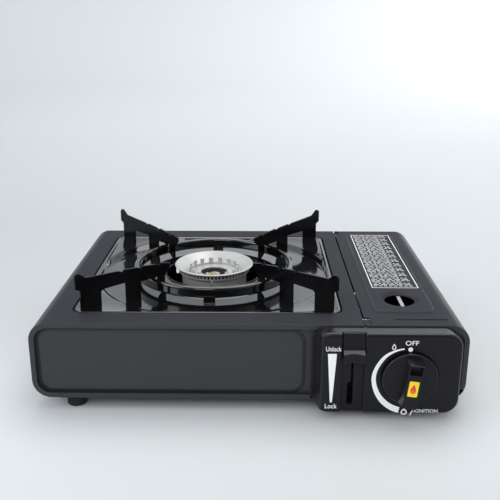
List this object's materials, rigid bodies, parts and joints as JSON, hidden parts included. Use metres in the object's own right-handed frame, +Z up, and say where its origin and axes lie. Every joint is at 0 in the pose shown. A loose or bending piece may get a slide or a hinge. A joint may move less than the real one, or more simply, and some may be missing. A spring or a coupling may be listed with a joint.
{
  "type": "butane cassette stove",
  "caption": "Flat portable gas stove with a single burner, four-armed pan support, drip tray, lidded canister bay, rotary gas knob and canister lock lever.",
  "frame": {"origin": "middle of the whole stove's footprint, on the surface under its feet", "axes": "+X to the right of a cook facing the knob, +Y away from the cook, +Z up"},
  "size_m": [0.343, 0.288, 0.1055],
  "materials": {
    "charcoal_enamel": "satin charcoal paint",
    "black_enamel": "glossy black vitreous enamel",
    "black_moulding": "glossy black moulded plastic",
    "ribbed_moulding": "matt black moulded plastic",
    "feet_rubber": "matt black rubber",
    "zinc_plate": "bright zinc-plated steel",
    "burner_alloy": "die-cast aluminium, lightly polished",
    "turned_brass": "turned brass",
    "valve_alloy": "die-cast alloy, matt",
    "glazed_white": "white glazed ceramic",
    "wire_sleeve": "red silicone sleeve",
    "flame_sticker": "printed yellow film",
    "seal_rubber": "black nitrile rubber"
  },
  "bodies": {
    "casing": {"top_cover": "charcoal_enamel", "front_panel": "charcoal_enamel", "rear_panel": "charcoal_enamel", "base_plate": "charcoal_enamel", "canister_cradle": "zinc_plate", "partition_wall": "zinc_plate", "control_panel": "black_moulding", "foot_pads": "feet_rubber", "foot_screws": "zinc_plate", "casing_screws": "zinc_plate", "hinge_brackets": "zinc_plate", "hinge_pins": "zinc_plate", "valve_body": "valve_alloy", "valve_screws": "zinc_plate", "regulator_cover": "zinc_plate", "regulator_screws": "zinc_plate", "canister_stop_plate": "zinc_plate", "canister_port": "turned_brass", "port_seal": "seal_rubber", "gas_tube": "burner_alloy", "jet_nozzle": "turned_brass", "mixing_tube": "burner_alloy", "burner_bracket": "zinc_plate", "burner_body": "burner_alloy", "burner_head": "burner_alloy", "inner_flame_ring": "burner_alloy", "burner_centre_screw": "turned_brass", "burner_screws": "zinc_plate", "heat_conductor": "burner_alloy", "ignition_unit": "ribbed_moulding", "ignition_wire": "wire_sleeve", "electrode_ceramic": "glazed_white", "electrode_tip": "zinc_plate", "electrode_bracket": "zinc_plate", "lever_pivot_pin": "zinc_plate", "carriage_guides": "zinc_plate"},
    "lid": {"canister_lid": "charcoal_enamel", "lid_hinge_ears": "charcoal_enamel", "peep_sight_strip": "zinc_plate"},
    "knob": {"control_knob": "black_moulding", "knob_sticker": "flame_sticker", "valve_spindle": "turned_brass", "ignition_cam": "ribbed_moulding"},
    "lever": {"lock_lever": "zinc_plate", "lever_cap": "black_moulding", "drive_pin": "zinc_plate"},
    "carriage": {"canister_carriage": "zinc_plate"},
    "plunger": {"igniter_plunger": "glazed_white"},
    "pan_support": {"drip_tray": "black_enamel", "pan_support_arm_back_right": "black_enamel", "pan_support_arm_back_left": "black_enamel", "pan_support_arm_front_left": "black_enamel", "pan_support_arm_front_right": "black_enamel", "support_ring": "black_enamel"}
  },
  "joints": [
    {"name": "lid_hinge", "type": "hinge", "parent": "casing", "child": "lid", "pos_m": [0.093, 0.015, 0.0719], "axis": [0, -1, 0], "range_deg": [0, 98]},
    {"name": "knob_turn", "type": "hinge", "parent": "casing", "child": "knob", "pos_m": [0.1236, -0.125, 0.0372], "axis": [0, -1, 0], "range_deg": [0, 180]},
    {"name": "lever_swing", "type": "hinge", "parent": "casing", "child": "lever", "pos_m": [0.08025, -0.055, 0.036], "axis": [1, 0, 0], "range_deg": [0, 30]},
    {"name": "carriage_slide", "type": "slide", "parent": "casing", "child": "carriage", "axis": [0, -1, 0], "range_m": [0, 0.01036]},
    {"name": "plunger_push", "type": "slide", "parent": "casing", "child": "plunger", "axis": [-1, 0, 0], "range_m": [0, 0.005], "stiffness_N_per_m": 400},
    {"name": "tray_lift", "type": "slide", "parent": "casing", "child": "pan_support", "axis": [0, 0, 1], "range_m": [0, 0.08]}
  ],
  "couplings": [
    {"joint": "carriage_slide", "follows": "lever_swing", "m_per_rad": 0.01977}
  ]
}
